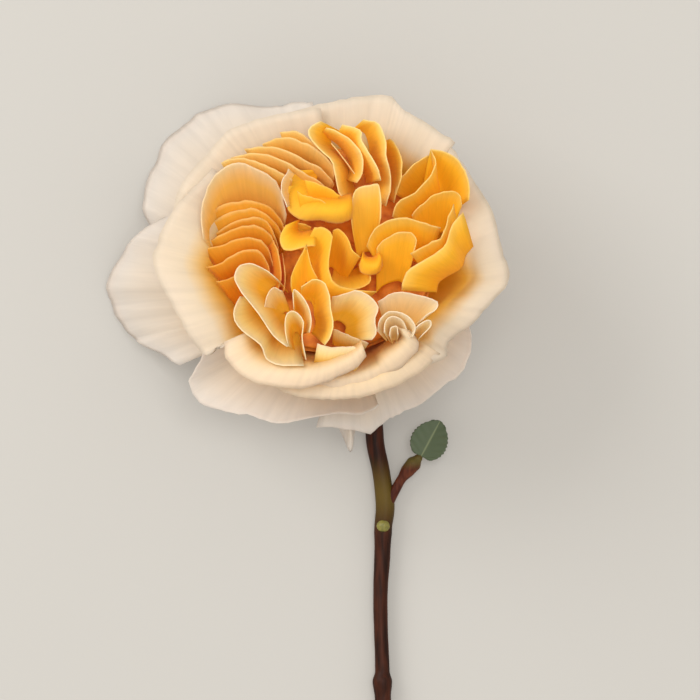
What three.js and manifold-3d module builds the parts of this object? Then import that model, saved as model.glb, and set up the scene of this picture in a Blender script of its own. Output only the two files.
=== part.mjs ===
// A cut garden rose lying on a table, bloom upwards: a stem with a side shoot and one small leaf,
// a hip with five sepals, and the petals of a full, cupped and quartered bloom.
// Millimetres, +Z up. The bloom is laid out in its own frame: X to the right, Y away from the stem,
// Z out of the open face. The origin of the part is the centre of its bounding box, on the table.
import * as THREE from "three";
import { mergeVertices } from "three/addons/utils/BufferGeometryUtils.js";
import Module from "manifold-3d";

const wasm = await Module();
wasm.setup();

// Driving dimensions.
const PETAL_THICKNESS = 0.5;
const SEPAL_THICKNESS = 0.8;
const LEAF_THICKNESS = 0.5;
const GAP = 0.3; // clear space kept between neighbours
const SMOOTHINGS = [0.06, 0.04, 0.08, 0.025, 0.1, 0.015, 0.01, 0.12, 0.005]; // how far a face may move
const GRID = 256; // corners per millimetre on the grid they end on
const FACE_HEIGHT = 50; // height of the open face over the table, at the frame's axis
const FACE_SLOPE_X = 0.15; // the face leans: it rises to the right
const FACE_SLOPE_Y = -0.25; // and falls away from the stem
const HIP_TOP = new THREE.Vector3(7, -7, 25);
const HIP_LENGTH = 12;
const HIP_RADIUS = 5;
const HIP_AXIS = new THREE.Vector3(-0.2, 0.38, 0.9).normalize();
const BASES_RADIUS = 27;
const BASES_DEPTH = 12.5; // from the open face down to the packed bases
const BASES_HOLLOW = 6; // how much deeper they are in the middle
const ROOT_SHARE = 0.1; // a petal's claw is this share of its rim, in plan

// How a petal runs from its claw to its rim: the share of the way out and of the way up
// at the first and at the second control point of a cubic curve.
const DROOPING = [0.4, -0.25, 0.85, 0.25];
const ROLLED = [0.9, 0, 0.5, 1.3];
const LEANING = [0.3, 0.35, 0.7, 0.8];
const SPOON = [0.45, 0.15, 0.85, 0.7];
const ROUNDED = [0.2, 0.6, 0.6, 1.05];
const DOMED = [0.05, 1.5, 0.65, 1.9];

const bloom = new THREE.Group();
const placed = []; // for each piece, what later pieces are cut by

const facePoint = ([x, y, lift]) =>
  new THREE.Vector3(x, y, FACE_HEIGHT + FACE_SLOPE_X * x + FACE_SLOPE_Y * y + lift);

function solidOf(geometry) {
  const bare = geometry.clone();
  bare.deleteAttribute("normal");
  bare.deleteAttribute("uv");
  const merged = mergeVertices(bare, 1e-4);
  return new wasm.Manifold(new wasm.Mesh({
    numProp: 3,
    vertProperties: merged.attributes.position.array,
    triVerts: new Uint32Array(merged.index.array),
  }));
}

function geometryOf(solid) {
  const mesh = solid.getMesh();
  return new THREE.BufferGeometry()
    .setAttribute("position", new THREE.BufferAttribute(mesh.vertProperties, 3))
    .setIndex(new THREE.BufferAttribute(mesh.triVerts, 1));
}

const largestBody = (solid) =>
  solid.decompose().reduce((best, body) => (body.volume() > best.volume() ? body : best));

// A cut leaves needless corners and slivers: they are dropped, and what is left sits on a fine grid.
function tidied(solid, smoothing) {
  const geometry = geometryOf(largestBody(solid).asOriginal().simplify(smoothing));
  const corners = geometry.attributes.position;
  for (let i = 0; i < corners.array.length; i++) {
    corners.array[i] = Math.round(corners.array[i] * GRID) / GRID;
  }
  return largestBody(solidOf(geometry));
}

// A sound solid is one body with no two corners in one place, and clear of the pieces before it.
function isSound(solid, before) {
  const geometry = geometryOf(solid);
  const again = solidOf(geometry);
  const places = mergeVertices(geometry, 1e-3).attributes.position.count;
  return places === solid.numVert() && again.numVert() === solid.numVert()
    && again.decompose().length === 1
    && before.every((cutters) => solid.intersect(cutters[0]).volume() === 0
      || solid.intersect(cutters[2]).volume() < 0.004);
}

// Adds the piece that form(0) makes, cut clear of all that is in its way. form(extra) is the piece grown
// by that much: later pieces are cut by it at the whole gap, and at half of it where that one folds.
function place(name, colour, roughness, form) {
  let solid = form(0);
  for (const cutters of placed) {
    if (solid.intersect(cutters[0]).volume() > 0) {
      solid = cutters.reduce((rest, cutter) => rest.subtract(cutter), solid);
    }
  }
  const tries = SMOOTHINGS.map((smoothing) => tidied(solid, smoothing));
  solid = tries.find((made) => isSound(made, placed)) ?? tries[0];
  placed.push([form(GAP), form(GAP / 2), solid]);
  const material = new THREE.MeshStandardMaterial({ color: colour, roughness, metalness: 0 });
  const mesh = new THREE.Mesh(geometryOf(solid), material);
  mesh.name = name;
  bloom.add(mesh);
}

// Bends a flat box, u from -1 to 1 and v from 0 to 1, onto surface(u, v).
function bentSheet(surface, thickness, across, along) {
  const box = new THREE.BoxGeometry(2, 1, thickness, across, along, 1);
  const corners = box.attributes.position;
  const step = 1e-3;
  for (let i = 0; i < corners.count; i++) {
    const u = corners.getX(i);
    const v = corners.getY(i) + 0.5;
    const alongU = surface(u + step, v).sub(surface(u - step, v));
    const alongV = surface(u, v + step).sub(surface(u, v - step));
    const normal = alongU.cross(alongV).normalize();
    const point = surface(u, v).addScaledVector(normal, corners.getZ(i));
    corners.setXYZ(i, point.x, point.y, point.z);
  }
  return solidOf(box);
}

// A petal of the outer whorls runs from its claw on the hip to its rim. An inner petal runs from its
// foot [x, y, depth, width] in the packed bases: depth is from the open face, width a share of the rim.
function petalSurface(rim, profile, ring, lift, foot) {
  const edge = new THREE.CatmullRomCurve3(rim.map(facePoint), false, "centripetal");
  const middle = edge.points.reduce((sum, p) => sum.add(p), new THREE.Vector3());
  middle.divideScalar(edge.points.length);
  const out = middle.clone().sub(HIP_TOP).setZ(0).normalize();
  const claw = HIP_TOP.clone().addScaledVector(out, ring);
  claw.z += lift;
  if (foot) claw.copy(facePoint(foot));
  const spread = foot ? foot[3] : ROOT_SHARE;
  const [outOne, upOne, outTwo, upTwo] = profile;
  return (u, v) => {
    const tip = edge.getPoint(THREE.MathUtils.clamp((u + 1) / 2, 0, 1));
    const overshoot = u < -1 ? u + 1 : u > 1 ? u - 1 : 0;
    if (overshoot) tip.addScaledVector(edge.getTangent(u < 0 ? 0 : 1), overshoot);
    const root = claw.clone().add(tip.clone().sub(middle).setZ(0).multiplyScalar(spread));
    const reach = tip.clone().sub(root);
    const one = root.clone().add(reach.clone().multiply(new THREE.Vector3(outOne, outOne, upOne)));
    const two = root.clone().add(reach.clone().multiply(new THREE.Vector3(outTwo, outTwo, upTwo)));
    const w = 1 - v;
    return root.multiplyScalar(w * w * w)
      .addScaledVector(one, 3 * w * w * v)
      .addScaledVector(two, 3 * w * v * v)
      .addScaledVector(tip, v * v * v);
  };
}

// A whorl's petals share their colour, how far from the hip's centre and how high their claws sit,
// the share of the claw that is left out where the petals crowd, and their facets.
function addWhorl({ colour, ring, lift, from, across, along, petals }) {
  for (const [name, [profile, rim, foot]] of Object.entries(petals)) {
    const whole = petalSurface(rim, profile, ring, lift, foot);
    const start = foot ? 0 : from;
    const surface = (u, v) => whole(u, start + (1 - start) * v);
    place(name, colour, 0.6, (extra) => bentSheet(surface, PETAL_THICKNESS + 2 * extra, across, along));
  }
}

// A round stalk through stations [x, y, z, radius], as a cylinder bent along them.
function bentStalk(stations, sides, steps, extra, slant) {
  const line = new THREE.CatmullRomCurve3(stations.map(([x, y, z]) => new THREE.Vector3(x, y, z)));
  const cylinder = new THREE.CylinderGeometry(1, 1, 1, sides, steps);
  const corners = cylinder.attributes.position;
  for (let i = 0; i < corners.count; i++) {
    const t = 0.5 - corners.getY(i);
    const at = t * (stations.length - 1);
    const before = Math.min(Math.floor(at), stations.length - 2);
    const share = THREE.MathUtils.smoothstep(at - before, 0, 1);
    const radius = THREE.MathUtils.lerp(stations[before][3], stations[before + 1][3], share) + extra;
    const along = line.getTangent(t).negate();
    const side = new THREE.Vector3(1, 0, 0);
    side.addScaledVector(along, -side.dot(along)).normalize();
    const up = side.clone().cross(along);
    const point = line.getPoint(t)
      .addScaledVector(side, corners.getX(i) * radius)
      .addScaledVector(up, corners.getZ(i) * radius)
      .addScaledVector(along, corners.getX(i) * radius * slant * THREE.MathUtils.smoothstep(t, 0.95, 1));
    corners.setXYZ(i, point.x, point.y, point.z);
  }
  return solidOf(cylinder);
}

// The hip: an urn under the petals, along its own axis.
function addHip() {
  const profile = [[0, 0], [2.3, 0], [3.6, 2.2], [4.8, 5], [5, 8], [4.3, 10.6], [2.6, 12], [0, 12]];
  const turn = new THREE.Quaternion().setFromUnitVectors(new THREE.Vector3(0, 1, 0), HIP_AXIS);
  const urn = (extra) => {
    const grown = profile.map(([r, h]) => {
      return new THREE.Vector2(r > 0 ? r + extra : 0, h + (h > 6 ? extra : -extra));
    });
    const lathe = new THREE.LatheGeometry(grown, 20);
    lathe.applyQuaternion(turn);
    lathe.translate(...HIP_TOP.clone().addScaledVector(HIP_AXIS, -HIP_LENGTH).toArray());
    return solidOf(lathe);
  };
  place("hip", 0x7d8a4a, 0.55, urn);
}

// The stem leaves the hip's foot, bends down to the table and lies along it to its slanting cut.
function addStem() {
  const foot = HIP_TOP.clone().addScaledVector(HIP_AXIS, -HIP_LENGTH - GAP);
  const neck = foot.clone().addScaledVector(HIP_AXIS, -4);
  const stations = [
    [foot.x, foot.y, foot.z, 2.2],
    [neck.x, neck.y, neck.z, 2.1],
    [11.5, -19, 6, 2.2],
    [12.6, -28, 3.3, 2.25],
    [13.5, -38, 2.5, 2.3],
    [14, -46, 2.4, 2.3],
    [15.6, -54, 2.4, 2.25],
    [16.5, -62, 2.45, 2.45],
    [16, -67.5, 2.5, 2.3],
    [15.8, -74, 2.4, 2.05],
    [15.3, -85, 2.4, 1.85],
    [15.5, -96, 2.4, 1.8],
    [15.8, -104, 2.45, 1.85],
    [15.8, -107, 2.5, 2.5],
    [15.9, -111, 2.4, 2.1],
    [16.2, -119, 2.3, 1.9],
    [16.8, -131, 2.2, 1.95],
  ];
  place("stem", 0x5a3a30, 0.6, (extra) => bentStalk(stations, 12, 48, extra, 1.2));
}

// The side shoot is a leaf stalk cut short, with a swollen top that carries one small leaf.
function addShoot() {
  const stations = [
    [16.6, -62.5, 2.7, 1.5],
    [18.7, -58.6, 3.2, 1.25],
    [20.6, -55.2, 3.7, 1.2],
    [22.4, -52.7, 4.1, 1.8],
    [23.8, -51, 4.3, 1.95],
    [25, -49.6, 4.5, 1.1],
    [25.6, -48.9, 4.6, 0.7],
  ];
  place("side_shoot", 0x6e3b28, 0.6, (extra) => bentStalk(stations, 8, 14, extra, 0));
}

function addLeaf() {
  const base = new THREE.Vector3(25.7, -49.2, 5);
  const along = new THREE.Vector3(0.47, 0.88, 0.14).normalize();
  const across = new THREE.Vector3(0.88, -0.47, 0.05).normalize();
  const length = 10.4;
  const halfWidth = 4.7;
  const surface = (u, v) => {
    const broad = Math.pow(Math.sin(Math.PI * Math.pow(0.05 + 0.9 * v, 0.85)), 0.5);
    const point = base.clone().addScaledVector(along, length * v * (1 - 0.08 * u * u));
    point.addScaledVector(across, halfWidth * broad * u);
    point.z += 0.9 * Math.abs(u) * broad;
    return point;
  };
  place("leaf", 0x4f5f45, 0.6, (extra) => bentSheet(surface, LEAF_THICKNESS + 2 * extra, 8, 8));
}

// The dormant bud sits in its leaf scar on top of the stem.
function addBud() {
  const bud = (extra) => {
    const sphere = new THREE.SphereGeometry(1, 14, 8);
    sphere.scale(1.75 + extra, 1.7 + extra, 1.5 + extra);
    sphere.translate(16, -67, 4.3);
    return solidOf(sphere);
  };
  place("stem_bud", 0x8a8a3c, 0.5, bud);
}

// Five narrow sepals leave the hip's shoulder and bend back under the petals.
function addSepals() {
  const turns = [22, 98, 165, 238, 312];
  turns.forEach((degrees, i) => {
    const angle = THREE.MathUtils.degToRad(degrees);
    const out = new THREE.Vector3(Math.cos(angle), Math.sin(angle), 0);
    const across = new THREE.Vector3(-out.y, out.x, 0);
    const shoulder = HIP_TOP.clone().addScaledVector(HIP_AXIS, -1.6).addScaledVector(out, 4.9);
    const surface = (u, v) => {
      const half = 3.1 * Math.pow(Math.max(1 - v, 0), 0.75) * (0.75 + 0.6 * v) + 0.35;
      const point = shoulder.clone().addScaledVector(out, 15 * Math.sin(1.25 * v) + 0.5 * v);
      point.addScaledVector(across, half * u);
      point.z += 1.4 * v - 15.5 * v * v + 0.8 * u * u * (1 - v);
      return point;
    };
    const sepal = (extra) => bentSheet(surface, SEPAL_THICKNESS + 2 * extra, 4, 8);
    place("sepal_" + (i + 1), 0x76884e, 0.6, sepal);
  });
}

// The pistils stand as a small dome in the mouth of the hip.
function addPistils() {
  const dome = (extra) => {
    const sphere = new THREE.SphereGeometry(1, 12, 8);
    sphere.scale(2 + extra, 2 + extra, 3 + extra);
    sphere.translate(HIP_TOP.x - 0.5, HIP_TOP.y + 1, HIP_TOP.z + 2.8);
    return solidOf(sphere);
  };
  place("pistils", 0xc79a3a, 0.7, dome);
}

// The packed petal bases: the lower halves of the inner petals, pressed into one mass in the cup.
// It stands on the hip round the pistils, widens upwards, and is hollow in the middle of its top.
function addBases() {
  const profile = [[0, 0], [0.13, 0], [0.35, 0.28], [0.62, 0.56], [1, 1], [0.8, 1], [0.6, 1], [0.4, 1],
    [0.25, 1], [0.12, 1], [0, 1]];
  const mass = (extra) => {
    const lathe = new THREE.LatheGeometry(profile.map(([r, h]) => new THREE.Vector2(r, h)), 24);
    const corners = lathe.attributes.position;
    for (let i = 0; i < corners.count; i++) {
      const share = Math.hypot(corners.getX(i), corners.getZ(i));
      const height = corners.getY(i);
      const x = 3 + (BASES_RADIUS + extra) * corners.getX(i);
      const y = 3 - (BASES_RADIUS - 1 + extra) * corners.getZ(i);
      const hollow = BASES_HOLLOW * Math.exp(-Math.pow(share / 0.25, 2));
      const top = facePoint([x, y, extra - BASES_DEPTH - hollow]);
      const low = new THREE.Vector3(x - 3 + HIP_TOP.x, y - 3 + HIP_TOP.y, HIP_TOP.z + 1 - extra);
      low.lerp(top, height);
      corners.setXYZ(i, low.x, low.y, low.z);
    }
    return solidOf(lathe);
  };
  place("petal_bases", 0xe39a34, 0.6, mass);
}

addHip();
addStem();
addShoot();
addLeaf();
addBud();
addSepals();
addPistils();

// Guard petals: the outermost whorl, bent back to the table.
addWhorl({ colour: 0xf0e2d2, ring: 4.6, lift: 0, from: 0.05, across: 8, along: 6, petals: {
  "guard_left": [DROOPING, [[-36, 15, -26], [-46, 8, -28], [-50.5, 4, -33], [-55, -6, -41],
    [-52, -11, -44], [-49, -18, -43], [-46.5, -20.5, -40], [-36, -26, -34]]],
  "guard_top_left": [DROOPING, [[-40, 2, -32], [-44.8, 14, -33], [-43, 25, -35], [-37, 34, -35.7],
    [-28, 39, -32], [-13, 41, -26], [-2, 41, -22]]],
  "guard_right": [DROOPING, [[21, 30, -22], [31, 25, -33], [38.5, 14, -45], [41.5, 3, -53.5],
    [40, -8, -50], [34, -16, -38]]],
  "guard_bottom_right": [DROOPING, [[36, -12, -30], [38.6, -18.4, -33], [36, -27, -35],
    [31, -31.5, -36], [26.5, -35, -37], [20.5, -38, -39], [17, -39.5, -40], [13, -43.3, -43],
    [7, -42.2, -40], [-1, -41.7, -37]]],
  "guard_bottom": [DROOPING, [[-29, -21, -22], [-32, -28, -25], [-33, -31, -27], [-30.5, -35, -29],
    [-24, -37.5, -29], [-17, -38.8, -28], [-11, -40.5, -28], [-5, -40.2, -27], [3, -39, -26],
    [10, -37, -24], [14, -35, -22]]],
} });

// Collar petals: the wall of the cup, rolled outwards at the rim.
addWhorl({ colour: 0xf3e4cc, ring: 3.8, lift: 0.4, from: 0.1, across: 10, along: 6, petals: {
  "collar_top": [ROLLED, [[-10, 37.5, -7], [2, 40.5, -9], [10, 42, -10], [17.5, 42, -10],
    [21, 38.5, -9], [27, 35, -9], [34, 30, -9]]],
  "collar_top_left": [ROLLED, [[-38, 9, -6], [-35, 20, -6], [-28, 28, -7], [-23, 33.5, -8],
    [-12, 37.3, -7], [0, 39, -6]]],
  "collar_left": [ROLLED, [[-27, 24, -6], [-34, 17, -5], [-40, 7, -4], [-42, 0, -3.5], [-38, -9, -4],
    [-33, -18, -5], [-29.5, -23, -6], [-25, -21, -5]]],
  "collar_right": [ROLLED, [[33, 29, -8.5], [38, 21.5, -9], [43, 13, -9], [45.5, 3, -10],
    [47.5, -4, -11], [43, -10, -10], [38, -15.5, -9], [32.5, -20, -8], [31.5, -23.5, -7],
    [24, -27, -6], [17, -31, -6]]],
} });

// Lip petals: the low front of the cup, a step inside the collar.
addWhorl({ colour: 0xf3dcbc, ring: 3.2, lift: 0.8, from: 0.2, across: 8, along: 6, petals: {
  "lip_outer": [ROLLED, [[30, -23, -5], [27, -26, -5], [21, -29.6, -5], [14, -33, -5], [7, -34.4, -5],
    [1, -34.6, -5.5], [-5, -33.4, -7], [-12, -31, -9]]],
  "lip_middle": [ROLLED, [[23, -18, 0], [24.4, -21.5, -1], [22, -24.5, -2], [18, -27.5, -3],
    [15, -29.7, -4], [10, -31.4, -4], [4, -32.2, -4], [-3, -31.2, -5.5],
    [-9, -29.5, -7.5]]],
  "lip_inner": [ROLLED, [[-24, -20, -4], [-23.5, -24.5, -4], [-20, -28, -4], [-15, -30.2, -3.5],
    [-8, -31.3, -2.5], [-2, -31, -2], [4, -28.8, -1], [9, -26, -0.5], [11.5, -23.4, 0]]],
} });

addBases();

// Left quarter: petals nested one in another, like the leaves of an open fan.
addWhorl({ colour: 0xf0a63c, ring: 3, lift: 1, from: 0.25, across: 8, along: 4, petals: {
  "left_wrap": [SPOON, [[-29.5, 6, -3.5], [-30, 12, -1.5], [-28.6, 18, 0], [-25.4, 23, 0.5],
    [-20.5, 25, 0.5], [-15.6, 23.4, 0], [-11.5, 20.8, -1], [-9.8, 17.4, -3], [-8.4, 12, -5]],
    [-17, 2, -14, 0.5]],
  "left_arch_1": [LEANING, [[-29, 10.5, -7], [-26, 13.8, -5], [-21, 15.4, -4], [-16.5, 15.4, -3.5],
    [-12.5, 13.6, -4], [-9.8, 10.5, -6], [-8.5, 7, -8]], [-16, 0, -15, 0.6]],
  "left_arch_2": [LEANING, [[-28.4, 8.8, -7.5], [-25, 11.6, -5.5], [-20, 13.2, -4.5], [-16, 13.4, -4],
    [-12.5, 11.6, -4.5], [-10.3, 8.6, -6], [-9.3, 5, -8]], [-16, -1, -16, 0.6]],
  "left_arch_3": [LEANING, [[-27.6, 6.6, -8], [-23, 9.6, -6], [-19, 11.2, -5], [-15.5, 11.4, -4.5],
    [-12.8, 9.6, -5], [-11.2, 6.6, -6.5], [-10.3, 3, -8]], [-16, -2, -16, 0.6]],
  "left_arch_4": [LEANING, [[-30, 5, -8], [-26, 6.4, -6], [-22, 8.4, -5], [-18, 9.4, -4],
    [-14.5, 8.8, -4.5], [-12, 6.2, -6], [-11, 1.5, -8]], [-16, -4, -16, 0.6]],
  "left_arch_6": [LEANING, [[-28.5, -1, -7], [-25, 0, -5.5], [-21.5, 2.3, -4.5], [-18, 3.5, -4],
    [-15, 2.8, -4.5], [-13.2, 0, -6], [-12.4, -4, -8]], [-16, -8, -16, 0.6]],
} });

// Top left quarter: long petals lying one over another towards the middle.
addWhorl({ colour: 0xf2a93f, ring: 3, lift: 1, from: 0.25, across: 6, along: 4, petals: {
  "fan_2": [LEANING, [[-14.6, 29.8, -1], [-9, 31.4, 0], [-4, 30.2, 0.5], [0, 27.8, 0], [2.8, 24.6, -1],
    [3.6, 21, -3]], [-4, 20, -13, 0.6]],
  "fan_3": [LEANING, [[-19, 28.4, -1], [-13.5, 29, 0], [-8, 27.8, 0], [-3, 25.4, 0],
    [1, 23, -1], [3.6, 19.6, -3]], [-5, 18, -13, 0.6]],
  "fan_4": [LEANING, [[-22.6, 26.6, -1], [-17, 27.4, 0], [-12, 26.6, 0], [-7, 24.4, 0], [-2, 21.6, -1],
    [2.6, 18, -3]], [-7, 16, -13, 0.6]],
  "fan_5": [LEANING, [[-25, 25.2, -1], [-20.6, 26.2, 0], [-15, 25, 0], [-10.4, 22.8, 0],
    [-7, 20.6, -1]], [-14, 15, -13, 0.6]],
} });

// Top quarter: folded petals on edge, running in towards the middle.
addWhorl({ colour: 0xf4b94a, ring: 2.6, lift: 1.2, from: 0.25, across: 6, along: 4, petals: {
  "fold_6": [LEANING, [[11, 36, -2], [14.6, 35, 0], [16.2, 31, 1], [16.6, 27, 1], [17.6, 23.4, 0],
    [17.6, 19, -1], [16.6, 14, -3]], [12, 26, -10, 0.8]],
  "fold_4": [LEANING, [[5.4, 34.4, 0], [9.8, 33, 2], [10.5, 30, 3], [12.6, 26.8, 3.5], [14.8, 23, 3],
    [15.2, 20.4, 1]], [8.5, 26, -7, 0.8]],
  "fold_2": [LEANING, [[1.7, 34, 0], [5, 32.6, 1], [8.3, 30, 1.5], [10.7, 26, 1.5], [10.4, 22.4, 0.5],
    [8.9, 20, -1]], [4.6, 27, -8, 0.8]],
  "fold_1": [LEANING, [[0, 35.6, 0], [-2.8, 34, 1], [-2.6, 31, 1.5], [-0.6, 28.4, 2], [2.4, 25.8, 2],
    [3.8, 22.4, 1], [4.4, 18, 0], [6.6, 14, -1]], [6, 26, -9, 0.75]],
  "fold_3": [LEANING, [[2.8, 30, -3], [5, 27, -3], [7.2, 24, -3], [8.8, 21, -4]], [6.6, 24.4, -10, 0.8]],
  "fold_5": [SPOON, [[7.6, 11, -1], [7.6, 15.4, 1], [9, 18.5, 2], [12.5, 19.2, 2.5],
    [14.8, 19.6, 2], [15.6, 16, 1], [15.2, 11, -1]], [12, 1, -8, 0.5]],
} });

// Right quarter: broad petals leaning out, one before another.
addWhorl({ colour: 0xf3b43c, ring: 2.6, lift: 1.2, from: 0.25, across: 6, along: 4, petals: {
  "wing_1": [LEANING, [[17.4, 31, -4], [19.6, 28, -2], [20.7, 24, -2], [20.2, 20, -3],
    [18.6, 15, -5]], [16, 24, -12, 0.8]],
  "wing_4": [SPOON, [[27.6, 28.2, 0], [31.5, 27.6, 0], [35, 25, -1], [36.8, 20.5, -1],
    [37.2, 15.5, -2]], [29.5, 16.5, -9, 0.6]],
  "wing_3": [SPOON, [[18.2, 11.3, -3], [19.2, 14.8, -1], [24.2, 18, 0], [27.5, 21.6, 1],
    [28.8, 24.4, 1], [27.6, 28, 0]], [28, 12, -9, 0.6]],
  "wing_5": [SPOON, [[23, 11.6, -3], [25, 14.4, -1], [28, 16.6, 0], [31.6, 17.6, 0], [34.2, 17, 0],
    [35.2, 14, -2]], [29, 6, -9, 0.6]],
  "wing_6": [SPOON, [[11.7, 4, -3], [12.6, 7, -1], [14.8, 9.6, 0], [18, 10.7, 1], [23, 10.9, 1],
    [27, 9.2, 1], [30.2, 8.6, 0]], [21, -1, -8, 0.6]],
  "wing_8": [LEANING, [[22.6, 2, 0], [26, 4, 1], [29.6, 5.6, 2], [31, 8, 2], [31.8, 11, 1],
    [33.2, 14.4, 0]], [32, 1, -6, 0.8]],
  "wing_9": [ROUNDED, [[20.4, -7, 0], [21.2, -3, 2], [24.6, -0.2, 3], [28.4, 1.8, 3], [31.2, 4.2, 3],
    [32.4, 8.4, 2], [35.6, 12.3, 1]], [33.6, -2, -8, 0.6]],
} });

// Front left: two long petals folded lengthwise, one in the other.
addWhorl({ colour: 0xf6cf9c, ring: 2.6, lift: 1.2, from: 0.25, across: 8, along: 4, petals: {
  "tongue_outer": [SPOON, [[-20.2, -8.6, 0], [-21.6, -12.5, 1], [-21.2, -14.8, 1], [-18.5, -18, 1],
    [-14.6, -21, 1], [-13.5, -24, 0], [-10.5, -25.8, 0], [-4, -26, 0]], [-11, -14, -9, 0.5]],
  "tongue_inner": [SPOON, [[-10.6, -4.4, 0], [-14, -1.4, 2], [-17.5, 0, 3], [-20.4, -1.2, 3],
    [-21.3, -3.8, 3], [-20.4, -6.6, 3], [-15, -13.5, 3], [-11.5, -18.6, 2.5], [-8, -21, 2]],
    [-10, -9, -8, 0.4]],
} });

// Front quarter: folded petals on edge, and a shell beside them.
addWhorl({ colour: 0xf6cf9c, ring: 2.6, lift: 1.2, from: 0.25, across: 7, along: 4, petals: {
  "front_yellow": [SPOON, [[-4.6, -6.4, 1], [-1.6, -4.5, 3], [1, -5, 4], [2.5, -8.4, 4.5],
    [2.6, -11.6, 5], [3.5, -15.4, 5], [2.6, -19, 4], [1.3, -20.8, 2]], [-2.4, -13, -6, 0.5]],
  "front_fold_1": [SPOON, [[-7.6, -21, 0], [-8.6, -16, 1.5], [-8, -12.6, 2.5], [-6.4, -12.2, 3],
    [-4.3, -14.6, 3], [-4.5, -19, 2], [-3.4, -24.4, 1]], [-5.6, -20, -6, 0.5]],
  "front_fold_2": [SPOON, [[-6.8, -11.4, 1], [-6.6, -6.8, 3], [-4.8, -8.4, 4], [-3, -10.8, 4],
    [-2.2, -14.5, 4], [-2.8, -17.6, 2]], [-5, -15, -6, 0.5]],
  "front_shell": [SPOON, [[3, -8.8, 1], [6, -8.3, 2], [9.6, -7.4, 3], [13, -9.4, 4],
    [14.6, -11.4, 4], [13.8, -14.6, 4], [14.1, -17.8, 3.5], [12.8, -19.4, 2]], [5, -16.5, -6, 0.4]],
} });

// Front right: the outer petals of a small rosette.
addWhorl({ colour: 0xf6d6ae, ring: 2.6, lift: 1.2, from: 0.25, across: 7, along: 4, petals: {
  "rosette_1": [SPOON, [[14.4, -10, 1], [17.4, -8, 2], [21.5, -7.6, 3], [26, -8.6, 3], [29.2, -10.2, 2],
    [28.6, -11.8, 2], [26.8, -12.8, 2], [25.4, -14.6, 1]], [20, -17, -4, 0.4]],
  "rosette_2": [SPOON, [[14.4, -17.4, 2], [14.8, -14.6, 4], [16.6, -12.6, 5], [19.2, -12.4, 5],
    [22.4, -14, 5], [23.8, -16.6, 4], [23, -18.8, 3]], [18.6, -19, -3, 0.4]],
} });

// Heart: the small crumpled petals round the hollow in the middle.
addWhorl({ colour: 0xe89a28, ring: 2, lift: 1.5, from: 0.3, across: 6, along: 4, petals: {
  "heart_hood": [DOMED, [[-7, 23, -2], [-9.6, 19, -3], [-8.8, 14.2, -2], [-6.3, 11.8, -1],
    [-2, 10.3, 0], [4, 9.9, 0], [8, 11, -1]], [2.5, 19, -5, 0.5]],
  "heart_beak": [ROUNDED, [[-8.8, 9.2, 0], [-10.2, 5.8, 0], [-9.4, 3.4, 0.5], [-7.6, 2.8, 1],
    [-4.5, 3.5, 1], [-1.2, 4.2, 0]], [-4, 8.6, -4, 0.5]],
  "heart_blade_1": [SPOON, [[-7.2, -6, -1], [-6.6, -2.5, 0], [-4.6, 2, 1], [-3.4, 4.3, 1],
    [-2.2, 0.6, 0], [-0.6, -4, -1]], [-3.8, -8.5, -4, 0.7]],
  "heart_ring": [SPOON, [[3.2, 8, -1], [4.8, 8.2, 0], [6.9, 6, 0], [8.3, 2.6, 0], [10, 1.2, -1]],
    [4, -3, -9, 0.6]],
  "heart_floor": [LEANING, [[-1.5, 8.5, 1], [0.6, 8.7, 1], [2.6, 7.4, 1], [2.5, 3.4, 1], [2.1, -2.4, 0],
    [3.6, -5.4, 0], [7.5, -6.8, 0], [14.2, -7.4, 0]], [-1, -6, -7, 0.85]],
} });

// The origin goes to the centre of the bounding box, on the table.
const onGrid = (value) => Math.round(value * GRID) / GRID;
const box = new THREE.Box3().setFromObject(bloom);
const middle = box.getCenter(new THREE.Vector3());
for (const mesh of bloom.children) {
  mesh.geometry.translate(-onGrid(middle.x), -onGrid(middle.y), -box.min.z);
}
export default bloom;
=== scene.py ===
import itertools
import math

import bmesh
import bpy
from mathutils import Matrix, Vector, noise


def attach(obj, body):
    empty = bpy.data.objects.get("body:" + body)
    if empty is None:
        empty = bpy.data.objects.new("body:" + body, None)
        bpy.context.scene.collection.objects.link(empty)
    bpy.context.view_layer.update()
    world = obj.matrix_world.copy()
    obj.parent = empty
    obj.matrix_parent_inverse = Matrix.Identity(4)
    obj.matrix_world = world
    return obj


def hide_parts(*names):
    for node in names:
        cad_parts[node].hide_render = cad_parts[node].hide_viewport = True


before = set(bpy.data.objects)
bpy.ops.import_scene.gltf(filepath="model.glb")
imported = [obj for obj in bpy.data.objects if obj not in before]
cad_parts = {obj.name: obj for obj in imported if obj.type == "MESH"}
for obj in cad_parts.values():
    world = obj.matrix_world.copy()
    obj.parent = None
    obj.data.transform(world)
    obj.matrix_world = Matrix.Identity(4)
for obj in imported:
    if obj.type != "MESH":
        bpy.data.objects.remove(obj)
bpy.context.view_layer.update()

# The table: a plain pale top under the rose, with nothing on it.
# It is pale and a little warm, and it hardly darkens under the bloom.


def linear(red, green, blue):
    """A colour given from 0 to 255, as a screen shows it, for a shader socket."""
    parts = [c / 255 for c in (red, green, blue)]
    parts = [c / 12.92 if c <= 0.04045 else ((c + 0.055) / 1.055) ** 2.4 for c in parts]
    return (*parts, 1)


def shader(name):
    """A new material with its node tree and its Principled node."""
    material = bpy.data.materials.new(name)
    material.use_nodes = True
    tree = material.node_tree
    return material, tree, tree.nodes["Principled BSDF"]


def link(tree, source, output, target, socket):
    tree.links.new(source.outputs[output], target.inputs[socket])


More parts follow.
